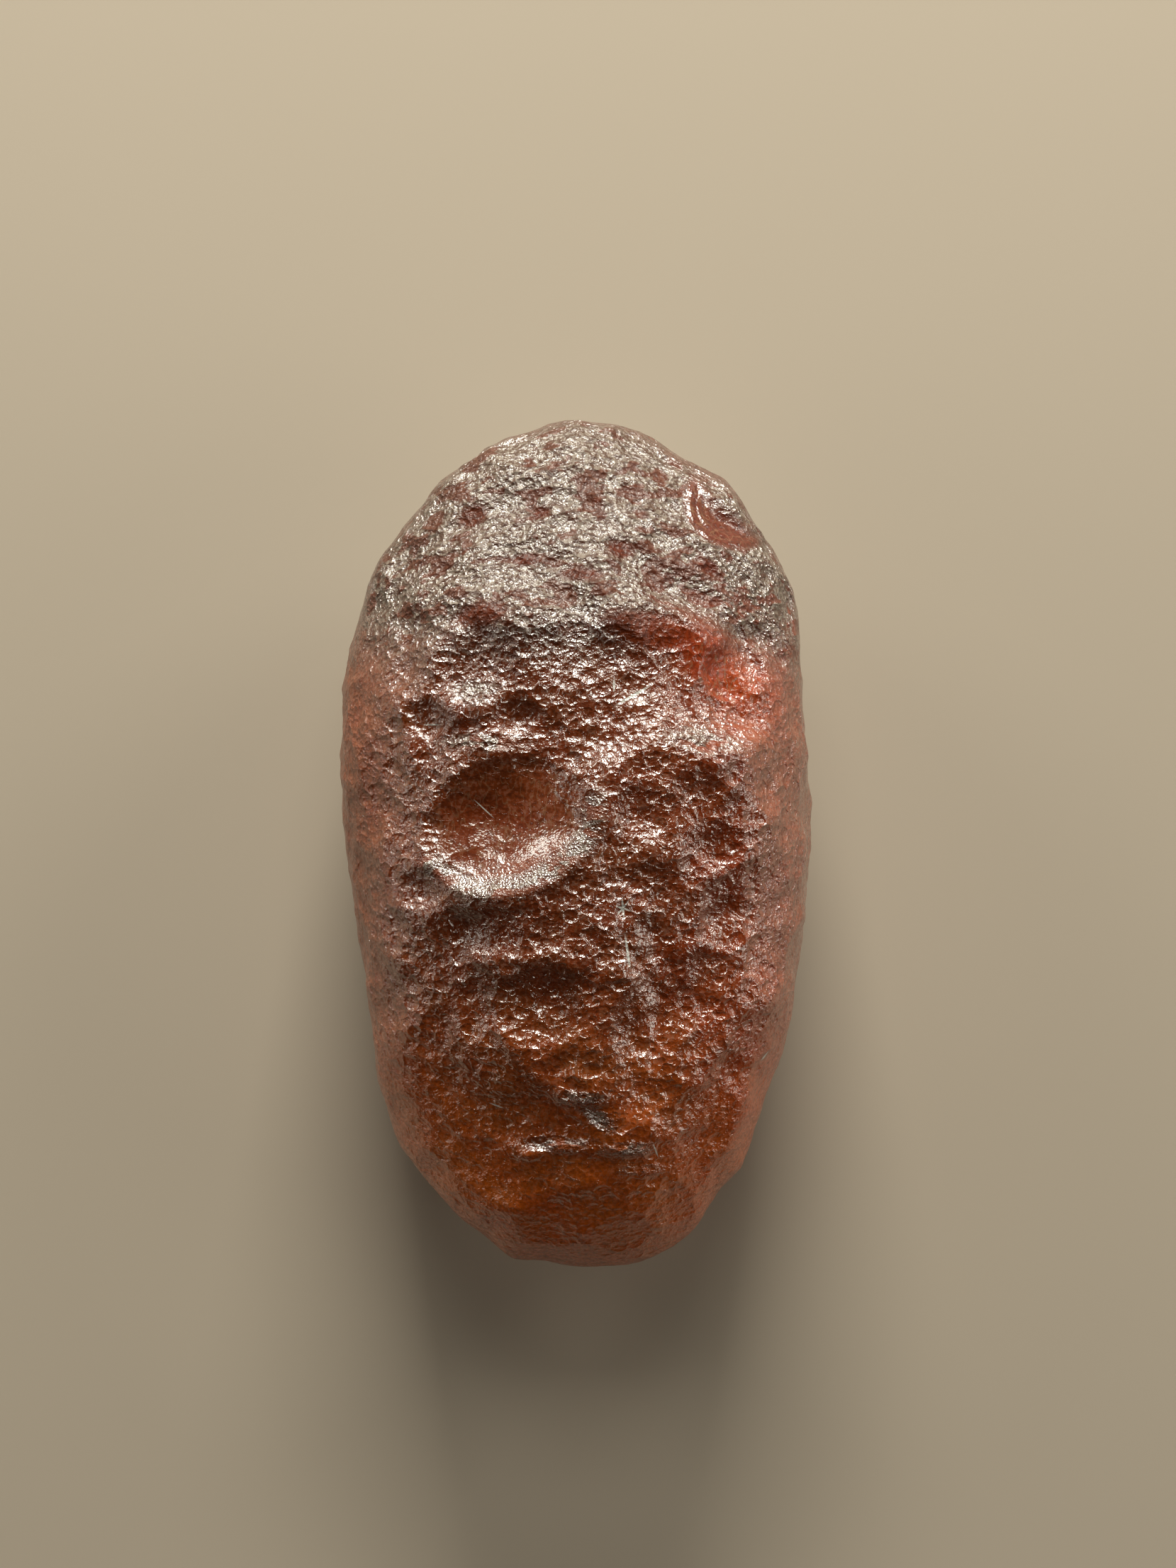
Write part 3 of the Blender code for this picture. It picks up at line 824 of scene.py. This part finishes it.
def pit_depth(tree, bent, frosted, pitted):
    """Depth in metres of the deepest pit at each point, the broad pits only where the frost is strong."""
    broad = pits(tree, bent, *BROAD_PITS)
    broad = calculate(tree, "MULTIPLY", broad, remap(tree, frosted, *BROAD_PITS_FADE))
    smaller = calculate(tree, "MAXIMUM", pits(tree, bent, *WIDE_PITS), pits(tree, bent, *MIDDLING_PITS))
    return calculate(tree, "MULTIPLY", calculate(tree, "MAXIMUM", broad, smaller), pitted)


def shell_steps(tree, place):
    """Height in metres of shell-shaped steps round the chips' middle, each a low ramp with a sharp riser.

    They stop at the chips' reach.
    """
    middle = Vector((*CHIP_MIDDLE, 0.0)) * METRES_PER_MM
    flat = add_node(tree, "ShaderNodeVectorMath", [(0, place), (1, (1.0, 1.0, 0.0))], operation="MULTIPLY")
    away = add_node(tree, "ShaderNodeVectorMath", [(0, flat.outputs[0]), (1, middle)], operation="DISTANCE")
    steps = calculate(tree, "DIVIDE", away.outputs["Value"], STEP_WIDTH_MM * METRES_PER_MM)
    inside = calculate(tree, "LESS_THAN", steps, CHIP_REACHES[0] / STEP_WIDTH_MM)
    ramp = calculate(tree, "MULTIPLY", calculate(tree, "FRACT", steps), inside)
    return calculate(tree, "MULTIPLY", ramp, -STEP_RISE_MM * METRES_PER_MM)


def skin_height(tree, place, bent, frosted, pitted, bare_spots):
    """Height in metres of the whole skin: ridges, less pits, with the shell steps, less the bare spots."""
    ridges = frost_ridges(tree, place, bent, frosted, pitted)
    height = calculate(tree, "SUBTRACT", ridges, pit_depth(tree, bent, frosted, pitted))
    height = calculate(tree, "ADD", height, shell_steps(tree, bent))
    sunk = calculate(tree, "MULTIPLY", bare_spots, BARE_DEPTH_MM * METRES_PER_MM)
    return calculate(tree, "SUBTRACT", height, sunk)


# %% [markdown]
# ## Scratches and fibres
#
# The stone has a few fine pale scratches, a small star of them below the middle of its front, and thin wavy
# fibres in its smoother glass. They are thinner than the mesh's faces and are only colour. A scratch is an
# oval so slim that it is a line: its distance, scaled to the oval, is 1 at the oval's edge. A fibre is where
# a noise that is drawn out along the stone passes its middle value, which makes lines without ends.

# %% Scratches and fibres
SCRATCHES = (
    ((1.60, 6.07), (3.33, 7.07), 0.080),
    ((1.64, 7.30), (1.64, 6.70), 0.060),
    ((-4.45, 2.13), (-3.50, 1.25), 0.035),
    ((-6.70, 5.33), (-5.74, 5.33), 0.035),
    ((-3.83, -11.10), (-3.10, -11.36), 0.040),
    ((8.10, -9.42), (8.48, -8.97), 0.040),
    ((1.62, -2.45), (2.45, -2.72), 0.055),
    ((1.98, -2.05), (2.08, -3.10), 0.060),
    ((1.72, -2.95), (2.32, -2.20), 0.050),
    ((2.10, -3.60), (2.35, -5.30), 0.070),
    ((3.35, -12.85), (3.60, -13.55), 0.040),
)
SCRATCH_REACH_MM = 1000.0
FIBRE_WAVES = (2600.0, 1100.0, 2600.0)
FIBRE_HALF_WIDTH = 0.035


def scratches(tree, place, lines):
    """1 on the front within the half width of any of the lines, and 0 elsewhere."""
    share = 0.0
    for (x0, y0), (x1, y1), half_width in lines:
        middle = Vector((0.5 * (x0 + x1), 0.5 * (y0 + y1), 0.0)) * METRES_PER_MM
        half_length = 0.5 * math.hypot(x1 - x0, y1 - y0)
        size = Vector((half_length, half_width, SCRATCH_REACH_MM)) * METRES_PER_MM
        turn = (0.0, 0.0, math.atan2(y1 - y0, x1 - x0))
        local = add_node(
            tree, "ShaderNodeMapping",
            [("Vector", place), ("Location", middle), ("Rotation", turn), ("Scale", size)],
            vector_type="TEXTURE",
        )
        away = add_node(tree, "ShaderNodeVectorMath", [(0, local.outputs[0])], operation="LENGTH")
        near = remap(tree, away.outputs["Value"], 0.5, 1.0, 1.0, 0.0)
        share = calculate(tree, "MAXIMUM", near, share)
    height = add_node(tree, "ShaderNodeSeparateXYZ", [("Vector", place)]).outputs["Z"]
    on_front = calculate(tree, "GREATER_THAN", height, OUTLINE_HEIGHT * METRES_PER_MM)
    return calculate(tree, "MULTIPLY", share, on_front)


def fibres(tree, place):
    """1 on thin wavy lines along the pebble, where a drawn-out noise passes its middle value, 0 off them."""
    waves = soft_noise(tree, stretched(tree, place, FIBRE_WAVES), 1.0, 1.0)
    off_middle = calculate(tree, "ABSOLUTE", calculate(tree, "SUBTRACT", waves, 0.5))
    return remap(tree, off_middle, 0.0, FIBRE_HALF_WIDTH, 1.0, 0.0)


# %% [markdown]
# ## The colours of the glass
#
# Thick glass of this kind is nearly black-brown, and thin glass glows orange to red where light comes
# through it. That glow is painted: the mesh's painted glow value blends the one colour into the other, and
# its redness, with soft clouds, moves the hue. Over that goes what lies on the skin: a neutral brown under
# the frost, pale specks in it that are also painted glints, and the fibres and scratches. A single brown
# looks like clay here, because the frost's grey has to sit on a clean dark ground with gaps in it.

# %% Colours
BODY_RED = (0.090, 0.0085, 0.0004, 1.0)
BODY_BROWN = (0.085, 0.0130, 0.0006, 1.0)
# Painted glow: the colours of thin glass with light coming through it, laid into the base colour.
PAINTED_GLOW_RED = (0.800, 0.0850, 0.0030, 1.0)
PAINTED_GLOW_BROWN = (0.740, 0.1550, 0.0050, 1.0)
UNDER_FROST = (0.090, 0.0260, 0.0080, 1.0)
# Pale specks: the frost's pale grains, also painted glints where the lights give none.
FROST_AND_GLINT_PALE = (0.370, 0.2950, 0.2350, 1.0)
FIBRE_PALE = (0.420, 0.2300, 0.1200, 1.0)
SCRATCH_WHITE = (0.950, 0.9200, 0.8400, 1.0)
CLOUD_WAVES = 500.0
CLOUD_RANGE = (0.40, 0.62, 0.0, 1.0)
CLOUD_REDNESS = 0.25
FINE_WAVES = 5500.0
GRAIN_RANGE = (0.35, 0.65, 0.70, 1.30)
COVER_RANGE = (0.45, 1.00, 0.0, 0.85)
FIBRE_RANGE = (0.25, 0.55, 0.55, 0.0)
SPECK_RANGE = (0.585, 0.640, 0.0, 1.0)
SPECKS_FROM_FROST = 0.10
SPECK_STRENGTH_RANGE = (0.30, 0.95, 0.12, 0.75)


def body_colour(tree, place, fine_noise):
    """The glass below its skin: brown to red by redness, dark to painted glow by its value, and finely
    grained.
    """
    clouds = remap(tree, soft_noise(tree, place, CLOUD_WAVES, 2.0), *CLOUD_RANGE)
    clouds = calculate(tree, "MULTIPLY", clouds, CLOUD_REDNESS)
    redness = calculate(tree, "ADD", clouds, mesh_value(tree, "redness"))
    dark = blend_colours(tree, redness, BODY_BROWN, BODY_RED)
    painted_glow_colour = blend_colours(tree, redness, PAINTED_GLOW_BROWN, PAINTED_GLOW_RED)
    body = blend_colours(tree, mesh_value(tree, "painted_glow"), dark, painted_glow_colour)
    grain = remap(tree, fine_noise, *GRAIN_RANGE)
    return add_node(tree, "ShaderNodeVectorMath", [(0, body), ("Scale", grain)], operation="SCALE").outputs[0]


def skin_colour(tree, place, body, fine_noise, frosted, bare):
    """The body colour with what lies on it: frost and its pale specks (also painted glints) where it isn't
    bare, fibres, scratches.
    """
    glossy = calculate(tree, "SUBTRACT", 1.0, bare)
    cover = calculate(tree, "MULTIPLY", remap(tree, frosted, *COVER_RANGE), glossy)
    colour = blend_colours(tree, cover, body, UNDER_FROST)
    fibrous = calculate(tree, "MULTIPLY", fibres(tree, place), remap(tree, frosted, *FIBRE_RANGE))
    colour = blend_colours(tree, fibrous, colour, FIBRE_PALE)
    # Pale specks of frost, also painted glints: more where the frost is strong, none where the glass is bare.
    specks_and_glints = calculate(tree, "ADD", fine_noise, calculate(tree, "MULTIPLY", frosted, SPECKS_FROM_FROST))
    specks_and_glints = calculate(tree, "MULTIPLY", remap(tree, specks_and_glints, *SPECK_RANGE), glossy)
    specks_and_glints = calculate(tree, "MULTIPLY", specks_and_glints, remap(tree, frosted, *SPECK_STRENGTH_RANGE))
    colour = blend_colours(tree, specks_and_glints, colour, FROST_AND_GLINT_PALE)
    return blend_colours(tree, scratches(tree, place, SCRATCHES), colour, SCRATCH_WHITE)


# %% [markdown]
# ## Gaps in the frost
#
# The frost isn't closed. Through holes of about a millimetre, wider than they are high, the dark red-brown
# glass shows. Holes in the colour alone look painted, because the gloss still runs over them. So the same
# value takes away the frost's colour and most of the gloss.

# %% Gaps in the frost
HOLE_WAVES = (750.0, 1250.0, 1000.0)
HOLE_EDGE = (0.54, 0.58, 0.0, 1.0)
HOLE_STRENGTH_RANGE = (0.5, 0.9, 0.0, 0.8)


def bareness_with_holes(tree, bent, frosted, bare_spots):
    """How bare the glass is: the bare spots, or holes where a noise is high, whichever is more."""
    holes = remap(tree, soft_noise(tree, stretched(tree, bent, HOLE_WAVES), 1.0, 2.0), *HOLE_EDGE)
    holes = calculate(tree, "MULTIPLY", holes, remap(tree, frosted, *HOLE_STRENGTH_RANGE))
    return calculate(tree, "MAXIMUM", holes, bare_spots)


# %% [markdown]
# ## The material
#
# The glass could be clear with a coloured volume, but frosted glass scatters most of its light at the
# surface. So a part of the light goes through and is absorbed on its way, and the rest meets the body
# colour. The gloss is the shader's coat, with a high IOR of its own, and takes the bumps in full. The body
# takes them by half, so that it stays calm under the glints.

# %% Glass material
WARP_WAVE_MM = 0.60
WARP_REACH_MM = 0.20
BODY_BUMP_SHARE = 0.5
COAT_WEIGHT_RANGE = (0.0, 1.0, 1.0, 0.12)
GLASS_VALUES = {
    "Roughness": 0.42, "IOR": 1.49, "Specular IOR Level": 0.25, "Coat Roughness": 0.15, "Coat IOR": 2.5,
    "Transmission Weight": 0.35,
}
ABSORBED_TO = (0.80, 0.56, 0.36, 1.0)
ABSORPTION = 120.0


def bump_the_shader(tree, shader, height):
    """The height as bumps: in full on the coat, and blended with the level surface on the body."""
    bump = add_node(tree, "ShaderNodeBump", [("Height", height), ("Strength", 1.0), ("Distance", 1.0)])
    level = add_node(tree, "ShaderNodeNewGeometry").outputs["Normal"]
    soft = add_node(tree, "ShaderNodeMix", data_type="VECTOR")
    soft.inputs[0].default_value = BODY_BUMP_SHARE
    tree.links.new(level, soft.inputs[4])
    tree.links.new(bump.outputs["Normal"], soft.inputs[5])
    tree.links.new(soft.outputs[1], shader.inputs["Normal"])
    tree.links.new(bump.outputs["Normal"], shader.inputs["Coat Normal"])


def glass_material():
    """Dark red-brown translucent glass with a pitted, frosted skin."""
    material = bpy.data.materials.new("frosted brown glass")
    material.use_nodes = True
    tree = material.node_tree
    shader = tree.nodes["Principled BSDF"]
    for name, value in GLASS_VALUES.items():
        shader.inputs[name].default_value = value
    place = add_node(tree, "ShaderNodeTexCoord").outputs["Object"]
    bent = warped(tree, place, WARP_WAVE_MM, WARP_REACH_MM)
    frosted, pitted, bare_spots = [mesh_value(tree, name) for name in ("frosting", "pitting", "bareness")]
    bare = bareness_with_holes(tree, bent, frosted, bare_spots)
    fine_noise = soft_noise(tree, place, FINE_WAVES, 2.0)
    body = body_colour(tree, place, fine_noise)
    colour = skin_colour(tree, place, body, fine_noise, frosted, bare)
    tree.links.new(colour, shader.inputs["Base Color"])
    tree.links.new(remap(tree, bare, *COAT_WEIGHT_RANGE), shader.inputs["Coat Weight"])
    bump_the_shader(tree, shader, skin_height(tree, place, bent, frosted, pitted, bare_spots))
    absorption = add_node(
        tree, "ShaderNodeVolumeAbsorption", [("Color", ABSORBED_TO), ("Density", ABSORPTION)]
    )
    tree.links.new(absorption.outputs[0], tree.nodes["Material Output"].inputs["Volume"])
    print("glass:", len(tree.nodes), "nodes")
    return material


pebble.data.materials.append(glass_material())

# %% [markdown]
# ## The studio
#
# The pebble lies on a plain pale floor. Relief shows best in light that rakes over it, so a bright soft
# light stands low beyond the upper end, with a dimmer one on each side of it. A higher one behind them
# lifts the dome, and two faint ones fill the flanks. The surrounding light is kept very dim, because light
# from everywhere lays a grey haze over dark glossy glass.

# %% Floor
FLOOR_HALF_SIZE = 0.5
FLOOR_COLOUR = (0.44, 0.370, 0.29, 1.0)
FLOOR_ROUGHNESS = 0.7


def make_floor():
    """A plain pale sheet under the pebble."""
    mesh = bpy.data.meshes.new("floor")
    s = FLOOR_HALF_SIZE
    mesh.from_pydata([(-s, -s, 0), (s, -s, 0), (s, s, 0), (-s, s, 0)], [], [(0, 1, 2, 3)])
    material = bpy.data.materials.new("pale floor")
    material.use_nodes = True
    shader = material.node_tree.nodes["Principled BSDF"]
    shader.inputs["Base Color"].default_value = FLOOR_COLOUR
    shader.inputs["Roughness"].default_value = FLOOR_ROUGHNESS
    mesh.materials.append(material)
    floor = bpy.data.objects.new("floor", mesh)
    bpy.context.scene.collection.objects.link(floor)


make_floor()

# %% Lights
LIGHT_DISTANCE = 0.30
AIM = (0.0, 0.0, 0.005)
LIGHT_COLOUR = (1.0, 0.98, 0.87)
SURROUNDING_COLOUR = (1.0, 0.88, 0.75, 1.0)
SURROUNDING_STRENGTH = 0.006
SOFTBOXES = (
    ("key", 90, 21, (0.12, 0.10), 35.0),
    ("left wing", 140, 22, (0.10, 0.10), 5.0),
    ("right wing", 40, 22, (0.10, 0.10), 7.0),
    ("high back", 90, 50, (0.16, 0.10), 5.0),
    ("right side", -5, 25, (0.14, 0.14), 2.0),
    ("left side", 185, 25, (0.14, 0.14), 1.0),
)


def add_softbox(name, azimuth, elevation, size, brightness):
    """A rectangular soft light that faces the pebble from one distance, of power pi * area * brightness."""
    light = bpy.data.lights.new(name, "AREA")
    light.shape = "RECTANGLE"
    light.size, light.size_y = size
    light.energy = math.pi * size[0] * size[1] * brightness
    light.color = LIGHT_COLOUR
    box = bpy.data.objects.new(name, light)
    turn, tilt = math.radians(azimuth), math.radians(elevation)
    facing = Vector((math.cos(turn) * math.cos(tilt), math.sin(turn) * math.cos(tilt), math.sin(tilt)))
    box.location = Vector(AIM) + LIGHT_DISTANCE * facing
    box.rotation_euler = (-facing).to_track_quat("-Z", "Y").to_euler()
    box.visible_camera = False
    bpy.context.scene.collection.objects.link(box)


def set_surroundings():
    """A dim, even surrounding light."""
    world = bpy.data.worlds.new("surroundings")
    world.use_nodes = True
    background = world.node_tree.nodes["Background"]
    background.inputs["Color"].default_value = SURROUNDING_COLOUR
    background.inputs["Strength"].default_value = SURROUNDING_STRENGTH
    bpy.context.scene.world = world


for softbox in SOFTBOXES:
    add_softbox(*softbox)
set_surroundings()
print("lights:", ", ".join(name for name, *_ in SOFTBOXES))

# %% [markdown]
# ## The camera
#
# The pebble was shown upright and now lies on its back, so the camera looks straight down. Its frame covers
# as many millimetres as the photograph's does at the level of the outline. A wide lens close by would swell
# the middle, so the camera keeps a distance of many times the stone's thickness.

# %% Camera
PIXELS_PER_MM = 31.47
FRAME_PIXELS = (1659, 2212)
PEBBLE_MIDDLE_PIXEL = (813, 1193)
CAMERA_DISTANCE = 0.18
SENSOR_HEIGHT_MM = 24.0
NEAREST_SHOWN = 0.01


def add_camera():
    """A camera straight above, whose frame covers what the photograph's does at the outline's level."""
    covered = FRAME_PIXELS[1] / PIXELS_PER_MM * METRES_PER_MM
    aside = (0.5 * FRAME_PIXELS[0] - PEBBLE_MIDDLE_PIXEL[0]) / PIXELS_PER_MM * METRES_PER_MM
    along = (PEBBLE_MIDDLE_PIXEL[1] - 0.5 * FRAME_PIXELS[1]) / PIXELS_PER_MM * METRES_PER_MM
    lens = bpy.data.cameras.new("camera")
    lens.sensor_fit = "VERTICAL"
    lens.sensor_height = SENSOR_HEIGHT_MM
    lens.lens = SENSOR_HEIGHT_MM * CAMERA_DISTANCE / covered
    lens.clip_start = NEAREST_SHOWN
    camera = bpy.data.objects.new("camera", lens)
    camera.location = (aside, along, OUTLINE_HEIGHT * METRES_PER_MM + CAMERA_DISTANCE)
    bpy.context.scene.collection.objects.link(camera)
    bpy.context.scene.camera = camera
    print("the camera covers", round(1000 * covered, 1), "mm with a lens of", round(lens.lens, 1), "mm")


add_camera()
bpy.context.scene.view_settings.view_transform = "Standard"
